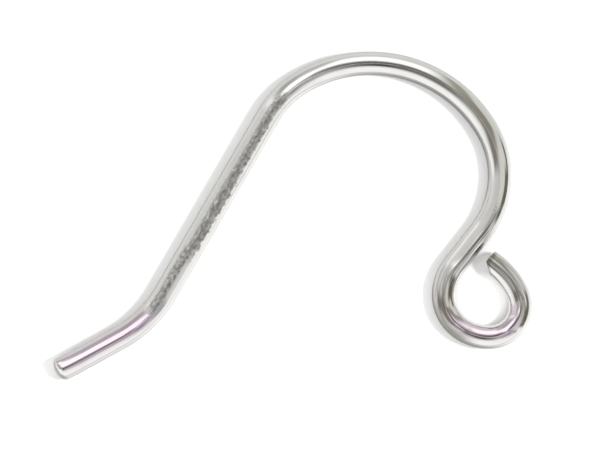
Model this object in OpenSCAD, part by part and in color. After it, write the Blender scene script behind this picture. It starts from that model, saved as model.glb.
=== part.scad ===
// Fish-hook ear wire: one length of round silver wire, bent flat round pegs and laid on its side.
// The wire runs from the tip of the tail, up the shank, over the crown, down the neck and round the eye.
// The shank lies along +Y, the wire's thickness is along Z, and the lowest side of the wire is at Z = 0.

/* [Wire] */
// Diameter of the round wire
wire_d = 0.8; // [0.5:0.05:1.0]

/* [Tail] */
// Length of the straight tail, with its rounded tip
tail_len = 2.5; // [1.5:0.1:5]
// Inside radius of the bend between tail and shank
kick_r = 3.6; // [1:0.1:6]
// Angle by which the tail kicks out from the shank
kick_angle = 31; // [10:1:50]

/* [Hook] */
// Length of the straight shank behind the ear
shank_len = 7; // [4:0.1:12]
// Inside radius of the two shoulders, where the crown begins and ends
shoulder_r = 2.7; // [1.5:0.05:4]
// Turn of the shoulder above the shank
shoulder_angle = 28; // [10:1:45]
// Inside radius of the crown
crown_r = 4.2; // [2.5:0.1:7]
// Turn of the crown
crown_angle = 91; // [60:1:110]
// Turn of the shoulder above the neck
front_angle = 69; // [50:1:80]
// Length of the straight neck above the eye
neck_len = 1.45; // [0.5:0.05:4]

/* [Eye] */
// Inside radius of the eye on its first, wider side
eye_r = 1.1; // [0.9:0.05:2.5]
// Turn of the eye's wider side
eye_angle = 131; // [110:1:150]
// Inside radius of the eye's tighter corner
eye_corner_r = 0.65; // [0.3:0.05:1]
// Turn of the eye's nearly straight last side
closing_angle = 25; // [18:1:40]
// Length of the straight end of the wire
end_len = 0.28; // [0.15:0.01:0.6]
// Gap between the cut end and the neck
eye_gap = 0.42; // [0.1:0.01:0.6]

/* [Hidden] */

wire_r = wire_d / 2;

// Radius of the dome on the tip, and the bevel that the cutter's jaws leave, as shares of the wire's radius
TIP_DOME = 1.1;
CUT_BEVEL = 0.2;
dome_r = wire_r * TIP_DOME;
cut_bevel = wire_r * CUT_BEVEL;

// The eye turns until its cut end faces the neck squarely
EYE_TURN = 270;
eye_corner_angle = EYE_TURN - eye_angle - closing_angle;

// Radii of the eye's bends on the wire's centreline. The last one is the one that ends at the gap.
eye_bend_r = eye_r + wire_r;
corner_bend_r = eye_corner_r + wire_r;
eye_depth = eye_bend_r * (1 - cos(eye_angle)) + corner_bend_r * (cos(eye_angle) + sin(closing_angle));
closing_bend_r = (eye_depth - eye_gap - wire_r - end_len) / sin(closing_angle);

// Legs of the wire in order from the tip of the tail to the cut end, as [length, bend radius, turn]:
// a straight has a length, and a bend has the radius of its centreline and a turn that is positive to the left.
LEGS = [
    [tail_len, 0, 0],
    [0, kick_r + wire_r, kick_angle],
    [shank_len, 0, 0],
    [0, shoulder_r + wire_r, -shoulder_angle],
    [0, crown_r + wire_r, -crown_angle],
    [0, shoulder_r + wire_r, -front_angle],
    [neck_len, 0, 0],
    [0, eye_bend_r, eye_angle],
    [0, corner_bend_r, eye_corner_angle],
    [0, closing_bend_r, closing_angle],
    [end_len, 0, 0]
];
TAIL = 0;
END = len(LEGS) - 1;

// A place on the wire is [x, y, heading]. These give the place at the end of a leg that starts at one.
function after_straight(at, length) =
    [at[0] + length * cos(at[2]), at[1] + length * sin(at[2]), at[2]];
function after_bend(at, radius, turn) =
    let (side = sign(turn) * radius, heading = at[2] + turn)
    [at[0] + side * (sin(heading) - sin(at[2])), at[1] - side * (cos(heading) - cos(at[2])), heading];
function along(at, leg, share) =
    leg[2] == 0 ? after_straight(at, leg[0] * share) : after_bend(at, leg[1], leg[2] * share);

// Place where leg number i starts, with the tip of the tail at [0, 0]
function leg_start(i) = i == 0 ? [0, 0, 90 - kick_angle] : along(leg_start(i - 1), LEGS[i - 1], 1);

// Box round the wire: points along every leg behind the dome, grown by the wire's radius, and the dome's ball
POINTS_PER_LEG = 90;
centreline = [
    for (i = [0 : END], k = [1 : POINTS_PER_LEG])
    along(leg_start(i), LEGS[i], k / POINTS_PER_LEG)
];
dome_centre = after_straight(leg_start(TAIL), dome_r);
function low(axis) =
    min(dome_centre[axis] - dome_r, min([for (p = centreline) if (norm([p[0], p[1]]) > dome_r) p[axis]]) - wire_r);
function high(axis) =
    max(dome_centre[axis] + dome_r, max([for (p = centreline) if (norm([p[0], p[1]]) > dome_r) p[axis]]) + wire_r);

// Fineness of the wire's own roundness and of its bends
WIRE_FN = 64;
BEND_FN = 180;

// How far a full leg of the wire runs into its neighbours, and how much thinner than it they are.
// Legs are full and thin by turns, so each thin one ends inside a full one, with a hairline step round it.
LEG_OVERLAP = 0.02;
LEG_STEP = 0.003;
function is_full(i) = i % 2 == 0;
function leg_r(i) = is_full(i) ? wire_r : wire_r - LEG_STEP;
function overlap_before(i) = is_full(i) && i > TAIL ? LEG_OVERLAP : 0;
function overlap_after(i) = is_full(i) && i < END ? LEG_OVERLAP : 0;

// Wire of radius r along +X, from x = start to x = end
module straight(start, end, r) {
    translate([start, 0, 0]) rotate([0, 90, 0]) cylinder(h = end - start, r = r, $fn = WIRE_FN);
}

// Wire of radius r that leaves the origin along +X and bends by turn to its left, or to its right if turn
// is below 0. It reaches before and after further along the same circle.
module bend(radius, turn, r, before, after) {
    degrees_per_mm = 180 / (PI * radius);
    mirror([0, turn < 0 ? 1 : 0, 0])
        translate([0, radius, 0])
            rotate([0, 0, -90])
                rotate_extrude(
                    start = -before * degrees_per_mm,
                    angle = abs(turn) + (before + after) * degrees_per_mm,
                    $fn = BEND_FN
                )
                    translate([radius, 0]) circle(r = r, $fn = WIRE_FN);
}

// Tail along +X with a filed and polished dome on its tip
module tail(end, r) {
    intersection() {
        straight(0, dome_r, r);
        translate([dome_r, 0, 0]) sphere(r = dome_r, $fn = WIRE_FN);
    }
    straight(dome_r, end, r);
}

// Straight end along +X with a flat cut face and a narrow bevel round it
module cut_end(start, end, r) {
    straight(start, end - cut_bevel, r);
    translate([end - cut_bevel, 0, 0]) rotate([0, 90, 0])
        cylinder(h = cut_bevel, r1 = r, r2 = r - cut_bevel, $fn = WIRE_FN);
}

module leg(i) {
    length = LEGS[i][0];
    before = overlap_before(i);
    after = overlap_after(i);
    if (i == TAIL) tail(length + after, leg_r(i));
    else if (i == END) cut_end(-before, length, leg_r(i));
    else if (LEGS[i][2] == 0) straight(-before, length + after, leg_r(i));
    else bend(LEGS[i][1], LEGS[i][2], leg_r(i), before, after);
}

module ear_wire() {
    color("silver")
        translate([-(low(0) + high(0)) / 2, -(low(1) + high(1)) / 2, wire_r])
            for (i = [0 : END])
                translate([leg_start(i)[0], leg_start(i)[1], 0]) rotate([0, 0, leg_start(i)[2]]) leg(i);
}

ear_wire();
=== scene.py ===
import math

import bmesh
import bpy
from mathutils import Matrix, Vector


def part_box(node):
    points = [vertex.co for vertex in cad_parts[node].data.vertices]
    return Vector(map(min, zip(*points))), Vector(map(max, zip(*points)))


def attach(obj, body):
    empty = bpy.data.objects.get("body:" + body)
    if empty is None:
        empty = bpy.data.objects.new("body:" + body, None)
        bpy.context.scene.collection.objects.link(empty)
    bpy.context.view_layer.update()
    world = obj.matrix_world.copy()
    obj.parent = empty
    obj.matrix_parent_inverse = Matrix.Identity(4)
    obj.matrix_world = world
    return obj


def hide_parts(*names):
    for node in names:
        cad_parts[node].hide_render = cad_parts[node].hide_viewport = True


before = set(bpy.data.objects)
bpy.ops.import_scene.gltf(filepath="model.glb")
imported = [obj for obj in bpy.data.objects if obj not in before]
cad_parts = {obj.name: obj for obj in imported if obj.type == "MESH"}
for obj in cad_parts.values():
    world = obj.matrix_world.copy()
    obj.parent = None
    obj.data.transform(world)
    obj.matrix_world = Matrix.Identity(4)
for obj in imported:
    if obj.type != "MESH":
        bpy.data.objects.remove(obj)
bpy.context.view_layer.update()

# The ear wire. One length of round silver wire, cut with side cutters, its tip domed with a cup burr, and
# bent flat round pegs: a kick for the tail, a large arch for the ear, and an open eye for the drop. It is
# one piece that lies on its side, with nothing soldered to it, and it keeps the marks of its tools.
MM = 0.001
wire_low, wire_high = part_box("ear_wire")
WIRE_R = (wire_high.z - wire_low.z) / 2

# Bends of the eye: inside radii and turns in degrees, the straight end, and the gap left beside the neck
EYE_R = 1.1 * MM
EYE_TURN = 131
CORNER_R = 0.65 * MM
CORNER_TURN = 114
CLOSING_TURN = 25
END_LEN = 0.28 * MM
EYE_GAP = 0.42 * MM
eye_depth = (
    (EYE_R + WIRE_R) * (1 - math.cos(math.radians(EYE_TURN)))
    + (CORNER_R + WIRE_R) * (math.cos(math.radians(EYE_TURN)) + math.sin(math.radians(CLOSING_TURN)))
)
closing_bend_r = (eye_depth - EYE_GAP - WIRE_R - END_LEN) / math.sin(math.radians(CLOSING_TURN))

# Legs of the wire from the tip to the cut end: the length of a straight, or the radius of a bend's
# centreline and its turn in degrees, which is positive to the left
TAIL_HEADING = 59
LEGS = [
    ("tail", 2.5 * MM, 0, 0),
    ("kick", 0, 3.6 * MM + WIRE_R, 31),
    ("shank", 7.0 * MM, 0, 0),
    ("shoulder", 0, 2.7 * MM + WIRE_R, -28),
    ("crown", 0, 4.2 * MM + WIRE_R, -91),
    ("front", 0, 2.7 * MM + WIRE_R, -69),
    ("neck", 1.45 * MM, 0, 0),
    ("eye", 0, EYE_R + WIRE_R, EYE_TURN),
    ("corner", 0, CORNER_R + WIRE_R, CORNER_TURN),
    ("closing", 0, closing_bend_r, CLOSING_TURN),
    ("end", END_LEN, 0, 0),
]
wire_len = sum(length + bend_r * math.radians(abs(turn)) for name, length, bend_r, turn in LEGS)

# The outline of the straight wire, from the middle of the tip to the middle of the cut: a shallow cap with
# a rounded corner, the long wall, and the cut's rolled rim and flat face. Each stretch of the wall is given
# by its end and its step, which is finer where the wire carries marks.
TIP_CAP_R = 1.34 * WIRE_R
TIP_CORNER_R = 0.24 * MM
CUT_RIM_R = 0.035 * MM
CAP_STEPS = 10
CORNER_STEPS = 12
RIM_STEPS = 4
CUT_STEPS = 8
wall_end = wire_len - CUT_RIM_R
WALL_STRETCHES = [
    (1.0 * MM, 0.04 * MM),
    (21.5 * MM, 0.075 * MM),
    (26.5 * MM, 0.036 * MM),
    (30.8 * MM, 0.06 * MM),
    (wall_end, 0.026 * MM),
]
wire = bmesh.new()


def draw_on(point, steps, advance=(0, 0, 0), centre=(0, 0, 0), angle=0.0):
    """Draws the outline on from its last point, straight or round a centre, and gives the new last point."""
    last = bmesh.ops.spin(
        wire, geom=[point], cent=centre, axis=(0, 0, 1), angle=angle, steps=steps, dvec=advance,
        use_duplicate=False,
    )["geom_last"]
    return [item for item in last if isinstance(item, bmesh.types.BMVert)][0]


cap_angle = math.asin((WIRE_R - TIP_CORNER_R) / (TIP_CAP_R - TIP_CORNER_R))
corner_x = TIP_CAP_R - (TIP_CAP_R - TIP_CORNER_R) * math.cos(cap_angle)
corner_centre = (corner_x, WIRE_R - TIP_CORNER_R, 0)
point = wire.verts.new((0, 0, 0))
point = draw_on(point, CAP_STEPS, centre=(TIP_CAP_R, 0, 0), angle=-cap_angle)
point = draw_on(point, CORNER_STEPS, centre=corner_centre, angle=-(math.pi / 2 - cap_angle))
for end, step in WALL_STRETCHES:
    length = end - point.co.x
    steps = round(length / step)
    point = draw_on(point, steps, advance=(length / steps, 0, 0))
point = draw_on(point, RIM_STEPS, centre=(wall_end, WIRE_R - CUT_RIM_R, 0), angle=-math.pi / 2)
point = draw_on(point, CUT_STEPS, advance=(0, (CUT_RIM_R - WIRE_R) / CUT_STEPS, 0))

# The outline is turned round the wire's axis, and the points that meet there become one
SIDES = 104
MERGE_DISTANCE = 0.001 * WIRE_R
bmesh.ops.spin(
    wire, geom=wire.verts[:] + wire.edges[:], cent=(0, 0, 0), axis=(1, 0, 0), angle=math.tau, steps=SIDES,
    dvec=(0, 0, 0), use_merge=True, use_duplicate=False,
)
bmesh.ops.remove_doubles(wire, verts=wire.verts[:], dist=MERGE_DISTANCE)
bmesh.ops.recalc_face_normals(wire, faces=wire.faces[:])

# Each point keeps where it was on the straight wire, in millimetres: along it from the tip, left of its axis
# and up from it
straight = wire.verts.layers.float_vector.new("straight")
for vert in wire.verts:
    vert[straight] = vert.co / MM


def fade(value, start, end):
    """0 before the start, 1 past the end, and smooth between them."""
    share = min(1, max(0, (value - start) / (end - start)))
    return share * share * (3 - 2 * share)


def press_flat(vert, lean, depth, soft):
    """Presses a point down to a flat that leans by so many degrees to the left of straight up."""
    normal = Vector((0, math.sin(math.radians(lean)), math.cos(math.radians(lean))))
    over = vert.co.dot(normal) - (WIRE_R - depth)
    vert.co -= normal * (over + math.hypot(over, soft)) / 2


# The marks of the tools. Places along the wire are in millimetres from its tip, and leans in degrees from
# straight up to its left. First the ridge that the cup burr pushed up on the tip's left, which fades along
# the wire and towards its axis. The burr also pushed the upper side of the tip over to the left.
BURR_LEAN = 56
BURR_WIDTH = 42
BURR_UP = 0.055 * MM
BURR_SIDEWAYS = 0.06 * MM
BURR_LEN = 1.0
BURR_FULL_TO = 0.15
BURR_FADE_LEN = 0.24
BURR_FULL_R = 0.36
BURR_SHIFT_LOW = -0.1
BURR_SHIFT_HIGH = 0.35
# The flat of the pliers on the neck, which ends where less than a hundredth of it would show
NECK_FLAT_LEAN = -13
NECK_FLAT_DEPTH = 0.018 * MM
NECK_FLAT_SOFT = 0.007 * MM
NECK_FLAT_START = 22.7
NECK_FLAT_FULL = 24.4
NECK_FLAT_FADING = 25.2
NECK_FLAT_END = 26.6
NECK_FLAT_LEAST = 0.01
# The eye's lower left, which the pliers let bulge out a hair
EYE_BULGE = 0.045 * MM
EYE_BULGE_PLACE = 27.3
EYE_BULGE_LEN = 1.5
# The flat of the pliers on the end
END_FLAT_LEAN = 8
END_FLAT_DEPTH = 0.014 * MM
END_FLAT_SOFT = 0.0025 * MM
END_FLAT_START = 30.5
END_FLAT_FULL = 31.3
# The cutters' slanting cut, which leaves the end short on its inner side and below
CUT_STRETCH = 0.7
CUT_LONGER = 0.07 * MM
CUT_SLANT = 1.3
CUT_SLANT_FROM = 0.07
CUT_UNDERCUT = 0.06 * MM
cut_start = wire_len / MM - CUT_STRETCH
for vert in wire.verts:
    along, left, up = vert[straight]
    if 0 < along < BURR_LEN:
        off_burr = abs(math.degrees(math.atan2(left, up)) - BURR_LEAN)
        near_tip = math.exp(-max(0, along - BURR_FULL_TO) / BURR_FADE_LEN)
        near_tip *= min(1, math.hypot(left, up) / BURR_FULL_R)
        if off_burr < BURR_WIDTH:
            rise = BURR_UP * near_tip * math.cos(math.radians(off_burr * 90 / BURR_WIDTH))
            vert.co += rise * Vector((0, left, up)).normalized()
        vert.co.y += BURR_SIDEWAYS * near_tip * fade(up, BURR_SHIFT_LOW, BURR_SHIFT_HIGH)
    if NECK_FLAT_START < along < NECK_FLAT_END:
        shown = fade(along, NECK_FLAT_START, NECK_FLAT_FULL)
        shown *= 1 - fade(along, NECK_FLAT_FADING, NECK_FLAT_END)
        if shown > NECK_FLAT_LEAST:
            press_flat(vert, NECK_FLAT_LEAN, NECK_FLAT_DEPTH * shown, NECK_FLAT_SOFT * shown)
    off_bulge = abs(along - EYE_BULGE_PLACE)
    if off_bulge < EYE_BULGE_LEN:
        vert.co.y -= EYE_BULGE * (1 + math.cos(math.pi * off_bulge / EYE_BULGE_LEN)) / 2
    if along > END_FLAT_START:
        shown = fade(along, END_FLAT_START, END_FLAT_FULL)
        press_flat(vert, END_FLAT_LEAN, END_FLAT_DEPTH * shown, END_FLAT_SOFT * shown)
    if along > cut_start:
        reach = CUT_LONGER - CUT_SLANT * max(0, left - CUT_SLANT_FROM) * MM
        reach -= CUT_UNDERCUT * (1 - up * MM / WIRE_R)
        vert.co.x += reach * (along - cut_start) / CUT_STRETCH


def laid(leg, point):
    """Where a point of the straight wire comes to lie on a leg."""
    start, place, heading, bend_r, side = leg
    reached = point.x - start
    if side == 0:
        here = heading
        middle = place + reached * Vector((math.cos(heading), math.sin(heading), 0))
    else:
        here = heading + side * reached / bend_r
        middle = place + side * bend_r * Vector(
            (math.sin(here) - math.sin(heading), math.cos(heading) - math.cos(here), 0)
        )
    return middle + Vector((-math.sin(here) * point.y, math.cos(here) * point.y, point.z))


# Bending: the straight wire is laid leg by leg along the pegs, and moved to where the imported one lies
legs_laid = []
start = 0.0
place = Vector((0, 0, 0))
heading = math.radians(TAIL_HEADING)
for name, length, bend_r, turn in LEGS:
    side = (turn > 0) - (turn < 0)
    legs_laid.append((start, place, heading, bend_r, side))
    leg_end = start + length + bend_r * math.radians(abs(turn))
    place = laid(legs_laid[-1], Vector((leg_end, 0, 0)))
    start = leg_end
    heading += math.radians(turn)
for vert in wire.verts:
    leg = [leg for leg in legs_laid if leg[0] <= max(0, vert.co.x)][-1]
    vert.co = laid(leg, vert.co)
low = Vector([min(vert.co[i] for vert in wire.verts) for i in range(3)])
high = Vector([max(vert.co[i] for vert in wire.verts) for i in range(3)])
middle = (low + high) / 2
middle.z = 0
tip_place = (wire_low + wire_high) / 2 - middle
bmesh.ops.translate(wire, verts=wire.verts[:], vec=tip_place)

for face in wire.faces:
    face.smooth = True
wire_mesh = bpy.data.meshes.new("ear_wire_finished")
wire.to_mesh(wire_mesh)
wire.free()
ear_wire = bpy.data.objects.new("ear_wire_finished", wire_mesh)
bpy.context.scene.collection.objects.link(ear_wire)

# Its finish: silver polished in a tumbler, with fine draw lines along it, a grain on the shank that the
# polish didn't reach, and streaks and brown tarnish where the pliers worked. A violet tint on the tail and
# the eye is painted reflection: it stands for the violet of the surroundings that the wire mirrors there
silver = bpy.data.materials.new("polished_silver")
silver.use_nodes = True
tree = silver.node_tree
shader = tree.nodes["Principled BSDF"]


def calculate(tree, operation, *values):
    """Adds a math node with sockets or numbers put in, and gives its output."""
    node = tree.nodes.new("ShaderNodeMath")
    node.operation = operation
    for i, value in enumerate(values):
        if isinstance(value, (int, float)):
            node.inputs[i].default_value = value
        else:
            tree.links.new(value, node.inputs[i])
    return node.outputs[0]


def soft_edge(tree, value, limit, edge):
    """0 below the limit and 1 above it, changing softly over the edge on both its sides."""
    node = tree.nodes.new("ShaderNodeMapRange")
    node.interpolation_type = "SMOOTHSTEP"
    tree.links.new(value, node.inputs["Value"])
    tree.links.new(calculate(tree, "SUBTRACT", limit, edge), node.inputs["From Min"])
    tree.links.new(calculate(tree, "ADD", limit, edge), node.inputs["From Max"])
    return node.outputs["Result"]


def stretch(value, start, end, edge):
    """1 from a start to an end and 0 outside them, with soft edges."""
    past_end = calculate(tree, "SUBTRACT", 1.0, soft_edge(tree, value, end, edge))
    return calculate(tree, "MULTIPLY", soft_edge(tree, value, start, edge), past_end)


def patch(start, end, edge, lean_low, lean_high, lean_edge, across=None, amount=1.0):
    """The amount on a part of the wire's length, in millimetres, and of its round, in degrees, or 0."""
    round_it = stretch(lean if across is None else across, lean_low, lean_high, lean_edge)
    mask = calculate(tree, "MULTIPLY", stretch(along, start, end, edge), round_it)
    return calculate(tree, "MULTIPLY", mask, amount)


def total(*masks):
    """The sum of some masks, at most 1."""
    answer = masks[0]
    for mask in masks[1:]:
        answer = calculate(tree, "ADD", answer, mask)
    return calculate(tree, "MINIMUM", answer, 1.0)


def noise(along_scale, across_scale, detail):
    """Noise from 0 to 1, so many waves to a millimetre along the wire and across it."""
    scaled = tree.nodes.new("ShaderNodeVectorMath")
    scaled.operation = "MULTIPLY"
    tree.links.new(spot.outputs["Vector"], scaled.inputs[0])
    scaled.inputs[1].default_value = (along_scale, across_scale, across_scale)
    texture = tree.nodes.new("ShaderNodeTexNoise")
    texture.inputs["Scale"].default_value = 1.0
    texture.inputs["Detail"].default_value = detail
    tree.links.new(scaled.outputs["Vector"], texture.inputs["Vector"])
    return texture.outputs["Fac"]


# A Mix node's colour sockets have to be given by number, because its other kinds use the same names
MIX_BEFORE = 6
MIX_AFTER = 7
MIX_RESULT = 2


def blended(tree, before, mask, after):
    """The colour before where the mask is 0, and the colour after where it is 1."""
    node = tree.nodes.new("ShaderNodeMix")
    node.data_type = "RGBA"
    tree.links.new(mask, node.inputs["Factor"])
    for number, colour in ((MIX_BEFORE, before), (MIX_AFTER, after)):
        if isinstance(colour, tuple):
            node.inputs[number].default_value = colour
        else:
            tree.links.new(colour, node.inputs[number])
    return node.outputs[MIX_RESULT]


# Where things are on the wire, and the noise that the marks are broken up with
spot = tree.nodes.new("ShaderNodeAttribute")
spot.attribute_name = "straight"
parts = tree.nodes.new("ShaderNodeSeparateXYZ")
tree.links.new(spot.outputs["Vector"], parts.inputs["Vector"])
along = parts.outputs["X"]
up = parts.outputs["Z"]
lean = calculate(tree, "MULTIPLY", calculate(tree, "ARCTAN2", parts.outputs["Y"], up), math.degrees(1))
draw_lines = noise(0.35, 16.0, 3.0)
grain = noise(6.5, 10.0, 3.0)
streaks = noise(0.7, 17.0, 2.0)
clouds = noise(0.9, 2.2, 2.0)
centred_grain = calculate(tree, "SUBTRACT", grain, 0.5)

# The dull stretches of the shank, with a ragged edge, and the places where the pliers worked
RAGGED = 34.0
ragged = calculate(tree, "MULTIPLY_ADD", centred_grain, RAGGED, lean)
on_shank = total(
    patch(3.9, 6.4, 0.2, -7, 36, 5, ragged), patch(6.2, 9.2, 0.5, -33, 25, 5, ragged),
    patch(9.0, 12.5, 0.2, -26, 20, 5, ragged),
)
by_pliers = total(
    patch(23.2, 24.4, 0.3, 12, 40, 7), patch(24.2, 26.6, 0.4, 8, 70, 8), patch(25.9, 27.0, 0.4, -46, 45, 10),
    patch(26.8, 28.4, 0.4, -46, 22, 8), patch(30.2, 33.2, 0.3, -55, 20, 8),
)
grained = calculate(tree, "MULTIPLY", grain, on_shank)

# Chatter marks that the pliers left across the top of the wire above the neck
CHATTER_RATE = 48.0
CHATTER_WANDER = 26.0
chatter_phase = calculate(tree, "MULTIPLY", along, CHATTER_RATE)
chatter_phase = calculate(tree, "MULTIPLY_ADD", clouds, CHATTER_WANDER, chatter_phase)
chatter = calculate(
    tree, "MULTIPLY", calculate(tree, "SINE", chatter_phase), patch(22.9, 23.8, 0.3, -30, 22, 10),
)

# Relief, in millimetres. A ridge has its start, end and edge along the wire, its lean, width and height.
# The last two are swells all round, on the eye's foot and on the tail, which turn the mirrored window.
DRAW_LINE_HEIGHT = 0.0011
GRAIN_HEIGHT = 0.008
STREAK_HEIGHT = 0.005
CHATTER_HEIGHT = 0.00014
ALL_ROUND = 400
RIDGES = [
    (30.9, 33.2, 0.4, -17, 6, 0.02),
    (30.9, 33.2, 0.4, 8, 4, 0.003),
    (23.9, 26.2, 0.4, 18, 6, 0.006),
    (27.7, 30.3, 0.6, 0, ALL_ROUND, 0.078),
    (-5.0, 3.5, 0.6, 0, ALL_ROUND, 0.017),
]
height = calculate(tree, "MULTIPLY", draw_lines, DRAW_LINE_HEIGHT)
height = calculate(tree, "MULTIPLY_ADD", grained, GRAIN_HEIGHT, height)
height = calculate(
    tree, "MULTIPLY_ADD", calculate(tree, "MULTIPLY", streaks, by_pliers), STREAK_HEIGHT, height,
)
height = calculate(tree, "MULTIPLY_ADD", chatter, CHATTER_HEIGHT, height)
for ridge_start, ridge_end, ridge_edge, ridge_lean, ridge_width, ridge_height in RIDGES:
    off_ridge = calculate(tree, "ABSOLUTE", calculate(tree, "SUBTRACT", lean, ridge_lean))
    beside_ridge = soft_edge(tree, off_ridge, ridge_width / 2, ridge_width / 2)
    ridge = calculate(tree, "SUBTRACT", 1.0, beside_ridge)
    ridge = calculate(tree, "MULTIPLY", ridge, stretch(along, ridge_start, ridge_end, ridge_edge))
    height = calculate(tree, "MULTIPLY_ADD", ridge, ridge_height, height)
relief = tree.nodes.new("ShaderNodeBump")
relief.inputs["Strength"].default_value = 1.0
relief.inputs["Distance"].default_value = MM
tree.links.new(height, relief.inputs["Height"])
tree.links.new(relief.outputs["Normal"], shader.inputs["Normal"])

POLISHED_ROUGHNESS = 0.02
DRAW_LINE_ROUGHNESS = 0.10
GRAIN_ROUGHNESS = 0.4
PLIERS_ROUGHNESS = 0.05
roughness = calculate(tree, "MULTIPLY_ADD", draw_lines, DRAW_LINE_ROUGHNESS, POLISHED_ROUGHNESS)
roughness = calculate(tree, "MULTIPLY_ADD", grained, GRAIN_ROUGHNESS, roughness)
roughness = calculate(tree, "MULTIPLY_ADD", by_pliers, PLIERS_ROUGHNESS, roughness)
tree.links.new(roughness, shader.inputs["Roughness"])

# Colour: bare silver, a painted violet reflection tint on the top of the tail and the eye, and brown tarnish
# that is faint in clouds all over, streaky where the pliers worked, scarred on the neck, and even on the rim
# of the cut and at three places round the eye
SILVER = (0.86, 0.85, 0.83, 1)
VIOLET_REFLECTION_TINT = (0.86, 0.745, 0.825, 1)
BROWN = (0.24, 0.20, 0.17, 1)
DULL_GREY = (0.28, 0.275, 0.25, 1)
FAINT_TARNISH = 0.07
CLOUD_LIMIT = 0.56
CLOUD_EDGE = 0.14
STREAK_TARNISH = 0.42
STREAK_LIMIT = 0.50
STREAK_EDGE = 0.12
CUT_TARNISH = 0.6
CUT_RIM_FROM = 32.52
CUT_RIM_EDGE = 0.08
CUT_RIM_ABOVE = 0.2
CUT_RIM_UP_EDGE = 0.1
SCAR_CONTRAST = 1.6
SCAR_SHIFT = -0.35
SPECK_CONTRAST = 2.1
SPECK_LEVEL = 0.58
# Painted reflection: the violet goes only on the top of the wire, where it mirrors violet surroundings, not
# on its flanks
painted_violet_reflection = total(patch(0.3, 3.75, 0.3, -28, 50, 12), patch(27.4, 30.5, 0.5, -14, 48, 12))
faint = calculate(tree, "MULTIPLY", soft_edge(tree, clouds, CLOUD_LIMIT, CLOUD_EDGE), FAINT_TARNISH)
streaked = calculate(tree, "MULTIPLY", soft_edge(tree, streaks, STREAK_LIMIT, STREAK_EDGE), by_pliers)
streaked = calculate(tree, "MULTIPLY", streaked, STREAK_TARNISH)
scarred = total(
    patch(23.35, 24.4, 0.25, 15, 40, 6), patch(23.9, 26.3, 0.4, 10, 19, 4),
    patch(24.0, 26.6, 0.4, 42, 56, 6, amount=0.5),
)
scars = calculate(tree, "MULTIPLY_ADD", streaks, SCAR_CONTRAST, SCAR_SHIFT)
scarred = calculate(tree, "MULTIPLY", scarred, scars)
on_top = soft_edge(tree, up, CUT_RIM_ABOVE, CUT_RIM_UP_EDGE)
cut_rim = calculate(tree, "MULTIPLY", soft_edge(tree, along, CUT_RIM_FROM, CUT_RIM_EDGE), on_top)
cut_rim = calculate(tree, "MULTIPLY", cut_rim, CUT_TARNISH)
tarnish = total(
    faint, streaked, scarred, cut_rim, patch(26.9, 28.4, 0.4, -45, -26, 6, amount=0.45),
    patch(26.5, 27.2, 0.25, -36, -20, 5, amount=0.4), patch(25.9, 26.9, 0.3, 20, 30, 4, amount=0.35),
)
specks = calculate(tree, "MULTIPLY_ADD", centred_grain, SPECK_CONTRAST, SPECK_LEVEL)
specks = calculate(tree, "MINIMUM", calculate(tree, "MAXIMUM", specks, 0.0), 1.0)
colour = blended(tree, SILVER, painted_violet_reflection, VIOLET_REFLECTION_TINT)
colour = blended(tree, colour, tarnish, BROWN)
colour = blended(tree, colour, calculate(tree, "MULTIPLY", specks, on_shank), DULL_GREY)
tree.links.new(colour, shader.inputs["Base Color"])
shader.inputs["Metallic"].default_value = 1.0
wire_mesh.materials.append(silver)

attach(ear_wire, "root")
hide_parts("ear_wire")

# The table: a sheet of plain white card that runs out of the picture on every side. Its looks change with
# azimuths of the picture, so the turn from the picture to the ear wire's own axes is given here.
CAMERA_TURN = 30.12
CARD_SIZE = 1.5
card = bmesh.new()
bmesh.ops.create_grid(card, x_segments=1, y_segments=1, size=CARD_SIZE / 2)
card_mesh = bpy.data.meshes.new("white_card")
card.to_mesh(card_mesh)
card.free()
white_card = bpy.data.objects.new("white_card", card_mesh)
bpy.context.scene.collection.objects.link(white_card)
card_paper = bpy.data.materials.new("white_paper")
card_paper.use_nodes = True
paper_tree = card_paper.node_tree
paper_shader = paper_tree.nodes["Principled BSDF"]

# The picture is overexposed, so the wire mirrors the card darker than the camera sees it. It mirrors it
# darkest where its south-west flank looks steeply down on it, and lightest where its south-east flank does.
# In the eye and at the tip, which stands free, it isn't mirrored as dark.
CARD_WHITE = (0.85, 0.85, 0.85, 1)
CARD_MIRRORED = (0.47, 0.47, 0.465, 1)
CARD_MIRRORED_LOW = (0.20, 0.20, 0.195, 1)
CARD_MIRRORED_HIGH = (0.69, 0.69, 0.685, 1)
LOW_FROM = 48
LOW_EDGE = 0.26
HIGH_FROM = 150
HIGH_EDGE = 0.2
SLANT = 45
SLANT_LIMIT = 0.22
EYE_PLACE = Vector((4.98, 1.78, 0)) * MM
EYE_LIGHT_R = 1.1 * MM
EYE_LIGHT_EDGE = 0.2 * MM
TIP_LIGHT_R = 0.9 * MM
TIP_LIGHT_EDGE = 0.4 * MM
card_spot = paper_tree.nodes.new("ShaderNodeTexCoord")
paper_rays = paper_tree.nodes.new("ShaderNodeLightPath")


def slanting_from(azimuth, edge):
    """0 where the card is looked at slantwise from an azimuth of the picture, and 1 elsewhere."""
    turn = math.radians(azimuth + CAMERA_TURN)
    looked_from = paper_tree.nodes.new("ShaderNodeCombineXYZ")
    looked_from.inputs["X"].default_value = math.sin(math.radians(SLANT)) * math.cos(turn)
    looked_from.inputs["Y"].default_value = math.sin(math.radians(SLANT)) * math.sin(turn)
    looked_from.inputs["Z"].default_value = math.cos(math.radians(SLANT))
    slant = paper_tree.nodes.new("ShaderNodeLayerWeight")
    slant.inputs["Blend"].default_value = 0.5
    paper_tree.links.new(looked_from.outputs["Vector"], slant.inputs["Normal"])
    return soft_edge(paper_tree, slant.outputs["Facing"], SLANT_LIMIT, edge)


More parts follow.
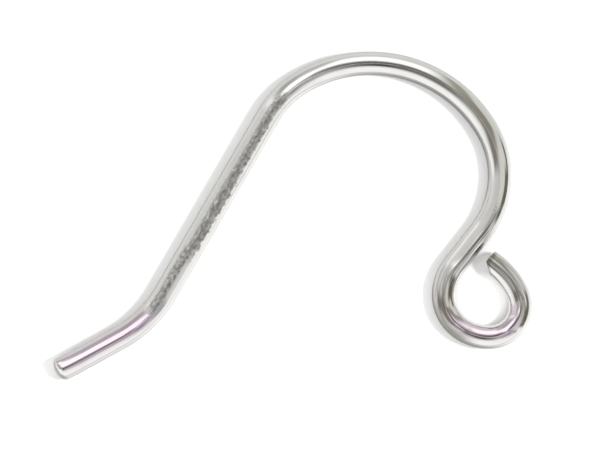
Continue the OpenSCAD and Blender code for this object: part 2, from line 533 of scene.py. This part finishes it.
def card_round(place, radius, edge):
    """1 on a round of the card and 0 outside it, with a soft edge."""
    off = paper_tree.nodes.new("ShaderNodeVectorMath")
    off.operation = "DISTANCE"
    paper_tree.links.new(card_spot.outputs["Object"], off.inputs[0])
    off.inputs[1].default_value = (place.x, place.y, 0)
    outside = soft_edge(paper_tree, off.outputs["Value"], radius, edge)
    return calculate(paper_tree, "SUBTRACT", 1.0, outside)


in_eye = card_round(EYE_PLACE, EYE_LIGHT_R, EYE_LIGHT_EDGE)
at_tip = card_round(tip_place, TIP_LIGHT_R, TIP_LIGHT_EDGE)
not_low = calculate(paper_tree, "MAXIMUM", slanting_from(LOW_FROM, LOW_EDGE), in_eye)
not_low = calculate(paper_tree, "MAXIMUM", not_low, at_tip)
mirrored = blended(paper_tree, CARD_MIRRORED_HIGH, slanting_from(HIGH_FROM, HIGH_EDGE), CARD_MIRRORED)
mirrored = blended(paper_tree, CARD_MIRRORED_LOW, not_low, mirrored)
paper_colour = blended(paper_tree, CARD_WHITE, paper_rays.outputs["Is Glossy Ray"], mirrored)
paper_tree.links.new(paper_colour, paper_shader.inputs["Base Color"])

# A pool of light is painted on the card inside the eye, as a glow of the card itself. It stands for the
# lamp's light that the polished wire throws back there
THROWN_LIGHT = 0.34
THROWN_R = 0.78 * MM
THROWN_EDGE = 0.2 * MM
thrown = calculate(paper_tree, "MULTIPLY", card_round(EYE_PLACE, THROWN_R, THROWN_EDGE), THROWN_LIGHT)
paper_tree.links.new(thrown, paper_shader.inputs["Emission Strength"])
paper_shader.inputs["Emission Color"].default_value = (1, 1, 1, 1)
paper_shader.inputs["Roughness"].default_value = 1.0
paper_shader.inputs["Specular IOR Level"].default_value = 0.0
card_mesh.materials.append(card_paper)

# The camera: straight above, as in the photograph, and turned so that the tail points to the lower left.
# It stands far off with a long lens, so that it shows the wire nearly without perspective.
CAMERA_HEIGHT = 0.2
PICTURE_W = 20.408 * MM
PICTURE_X = -1.737 * MM
PICTURE_Y = 0.804 * MM
SENSOR_W = 36
camera_data = bpy.data.cameras.new("camera")
camera_data.sensor_width = SENSOR_W
camera_data.lens = SENSOR_W * CAMERA_HEIGHT / PICTURE_W
camera_data.clip_start = MM
camera = bpy.data.objects.new("camera", camera_data)
camera.location = (PICTURE_X, PICTURE_Y, WIRE_R + CAMERA_HEIGHT)
camera.rotation_euler = (0, 0, math.radians(CAMERA_TURN))
bpy.context.scene.collection.objects.link(camera)
bpy.context.scene.camera = camera
bpy.context.scene.view_settings.view_transform = "Standard"

# The lamp: a small softbox to the right of the picture, which throws the shadow. The wire doesn't mirror
# it, because all that the wire shows is given as a panel of the studio.
LAMP_AZIMUTH = 2
LAMP_ELEVATION = 56
LAMP_DISTANCE = 0.3
LAMP_SIZE = 0.05
LAMP_POWER = 0.54
lamp_data = bpy.data.lights.new("softbox", "AREA")
lamp_data.shape = "DISK"
lamp_data.size = LAMP_SIZE
lamp_data.energy = LAMP_POWER
lamp = bpy.data.objects.new("softbox", lamp_data)
lamp_turn = math.radians(LAMP_AZIMUTH + CAMERA_TURN)
lamp_rise = math.radians(LAMP_ELEVATION)
lamp_out = math.cos(lamp_rise)
lamp.location = LAMP_DISTANCE * Vector(
    (math.cos(lamp_turn) * lamp_out, math.sin(lamp_turn) * lamp_out, math.sin(lamp_rise))
)
lamp.rotation_euler = lamp.location.to_track_quat("Z", "Y").to_euler()
lamp.visible_glossy = False
bpy.context.scene.collection.objects.link(lamp)

# The studio: a pale room whose window, curtains, camera and darker things the wire mirrors, as plain
# panels hung round it. A panel lies between two angles from straight above, polar near and far, and at
# each it has an azimuth of the picture and a half width. Silver shows it in the tone that it is given.
WALL = (200, 200, 196)
PANEL_MEASURES = (
    "Polar near", "Polar far", "Polar edge", "Azimuth near", "Azimuth far", "Half width near",
    "Half width far", "Azimuth edge",
)
PANELS = [
    ("west wall", 40, 110, 16, 178, 178, 20, 20, 10, (206, 205, 203)),
    ("south wings", 60, 112, 10, 258, 258, 80, 80, 8, (238, 237, 236)),
    ("south sweep", 38, 112, 10, 256, 256, 44, 56, 10, (243, 242, 241)),
    ("camera", -9, 18, 10, 0, 0, 200, 200, 5, (150, 148, 145)),
    ("lens south", -9, 25, 9, 258, 258, 28, 28, 10, (110, 108, 105)),
    ("lens", -9, 24, 8, 267, 267, 6, 6, 6, (62, 62, 57)),
    ("lens north", -9, 17, 8, 80, 80, 28, 28, 10, (90, 90, 87)),
    ("east gap", -9, 62, 9, -2, 8, 16, 14, 6, (204, 201, 194)),
    ("west zenith", -9, 44, 10, 168, 165, 14, 14, 6, (194, 192, 188)),
    ("north-west", 40, 96, 12, 142, 142, 3, 4, 3, (232, 230, 229)),
    ("window", 27, 66, 7, 88, 83, 26, 20, 6, (266, 264, 262)),
    ("window foot", -3, 46, 7, 131, 117, 13, 10, 3, (266, 264, 262)),
    ("south gap", -9, 10, 5, -46, -46, 6, 6, 3, (266, 264, 262)),
    ("south-east", 5, 35, 7, -61, -61, 6, 6, 5, (166, 160, 163)),
    ("curtain", 46, 84, 6, 130, 124, 8, 9, 4, (163, 163, 159)),
    ("curtain low", 62, 84, 6, 113, 113, 8, 8, 5, (174, 174, 170)),
    ("olive far", 20, 86, 8, 44, 54, 8, 6, 4, (150, 149, 134)),
    ("olive near", 3, 54, 9, 31, 38, 17, 8, 6, (134, 130, 118)),
    ("brown west", 3, 48, 9, 205, 190, 18, 9, 6, (120, 116, 107)),
    ("east low", 51, 92, 7, -7, -7, 12, 12, 5, (100, 101, 90)),
    ("east low far", 74, 98, 6, 12, 12, 10, 10, 6, (86, 88, 76)),
    ("east low neck", 52, 88, 8, -22, -22, 4, 5, 4, (96, 96, 88)),
    ("lavender", 16, 40, 7, -50, -50, 6, 6, 4, (148, 142, 152)),
    ("lavender 2", 10, 64, 9, -39, -39, 4, 4, 3, (156, 153, 160)),
]
PICTURE_GAMMA = 2.2


def as_light(tone):
    """The light from a panel that silver shows as this tone, from 0 to 255, of the finished picture."""
    return tuple((tone[i] / 255) ** PICTURE_GAMMA / SILVER[i] for i in range(3)) + (1,)


panel_group = bpy.data.node_groups.new("hung_panel", "ShaderNodeTree")
interface = panel_group.interface
interface.new_socket("Behind", in_out="INPUT", socket_type="NodeSocketColor")
interface.new_socket("Light", in_out="INPUT", socket_type="NodeSocketColor")
for measure in ("Polar", "Azimuth") + PANEL_MEASURES:
    interface.new_socket(measure, in_out="INPUT", socket_type="NodeSocketFloat")
interface.new_socket("Light", in_out="OUTPUT", socket_type="NodeSocketColor")
given = panel_group.nodes.new("NodeGroupInput").outputs
group_out = panel_group.nodes.new("NodeGroupOutput")


def between(tree, start, end, share):
    """A value that goes from start to end with share."""
    return calculate(tree, "MULTIPLY_ADD", calculate(tree, "SUBTRACT", end, start), share, start)


reach = panel_group.nodes.new("ShaderNodeMapRange")
panel_group.links.new(given["Polar"], reach.inputs["Value"])
panel_group.links.new(given["Polar near"], reach.inputs["From Min"])
panel_group.links.new(given["Polar far"], reach.inputs["From Max"])
share = reach.outputs["Result"]
centre_line = between(panel_group, given["Azimuth near"], given["Azimuth far"], share)
half_width = between(panel_group, given["Half width near"], given["Half width far"], share)
off_centre = calculate(panel_group, "SUBTRACT", given["Azimuth"], centre_line)
off_centre = calculate(panel_group, "ABSOLUTE", calculate(panel_group, "WRAP", off_centre, 180.0, -180.0))
beside = soft_edge(panel_group, off_centre, half_width, given["Azimuth edge"])
past_near = soft_edge(panel_group, given["Polar"], given["Polar near"], given["Polar edge"])
past_far = soft_edge(panel_group, given["Polar"], given["Polar far"], given["Polar edge"])
inside = calculate(panel_group, "MULTIPLY", past_near, calculate(panel_group, "SUBTRACT", 1.0, past_far))
inside = calculate(panel_group, "MULTIPLY", inside, calculate(panel_group, "SUBTRACT", 1.0, beside))
hung = blended(panel_group, given["Behind"], inside, given["Light"])
panel_group.links.new(hung, group_out.inputs["Light"])

studio = bpy.data.worlds.new("studio")
bpy.context.scene.world = studio
studio.use_nodes = True
room = studio.node_tree
room.nodes.clear()
looking = room.nodes.new("ShaderNodeTexCoord")
turned_view = room.nodes.new("ShaderNodeVectorRotate")
turned_view.rotation_type = "Z_AXIS"
turned_view.inputs["Angle"].default_value = -math.radians(CAMERA_TURN)
room.links.new(looking.outputs["Generated"], turned_view.inputs["Vector"])
direction = room.nodes.new("ShaderNodeSeparateXYZ")
room.links.new(turned_view.outputs["Vector"], direction.inputs["Vector"])
polar = calculate(room, "MULTIPLY", calculate(room, "ARCCOSINE", direction.outputs["Z"]), math.degrees(1))
azimuth = calculate(room, "ARCTAN2", direction.outputs["Y"], direction.outputs["X"])
azimuth = calculate(room, "MULTIPLY", azimuth, math.degrees(1))
behind = None
for name, *measures, tone in PANELS:
    panel = room.nodes.new("ShaderNodeGroup")
    panel.node_tree = panel_group
    panel.label = name
    if behind is None:
        panel.inputs["Behind"].default_value = as_light(WALL)
    else:
        room.links.new(behind, panel.inputs["Behind"])
    panel.inputs["Light"].default_value = as_light(tone)
    room.links.new(polar, panel.inputs["Polar"])
    room.links.new(azimuth, panel.inputs["Azimuth"])
    for socket, measure in zip(PANEL_MEASURES, measures):
        panel.inputs[socket].default_value = measure
    behind = panel.outputs["Light"]

# The camera itself sees only a pale room behind the table, and the card gets more of its light than the wire
PALE_ROOM = (0.86, 0.86, 0.86, 1)
CARD_EXPOSURE = 1.62
rays = room.nodes.new("ShaderNodeLightPath")
strength = calculate(room, "MULTIPLY_ADD", rays.outputs["Is Diffuse Ray"], CARD_EXPOSURE - 1, 1.0)
background = room.nodes.new("ShaderNodeBackground")
room.links.new(strength, background.inputs["Strength"])
seen = blended(room, behind, rays.outputs["Is Camera Ray"], PALE_ROOM)
room.links.new(seen, background.inputs["Color"])
world_out = room.nodes.new("ShaderNodeOutputWorld")
room.links.new(background.outputs["Background"], world_out.inputs["Surface"])
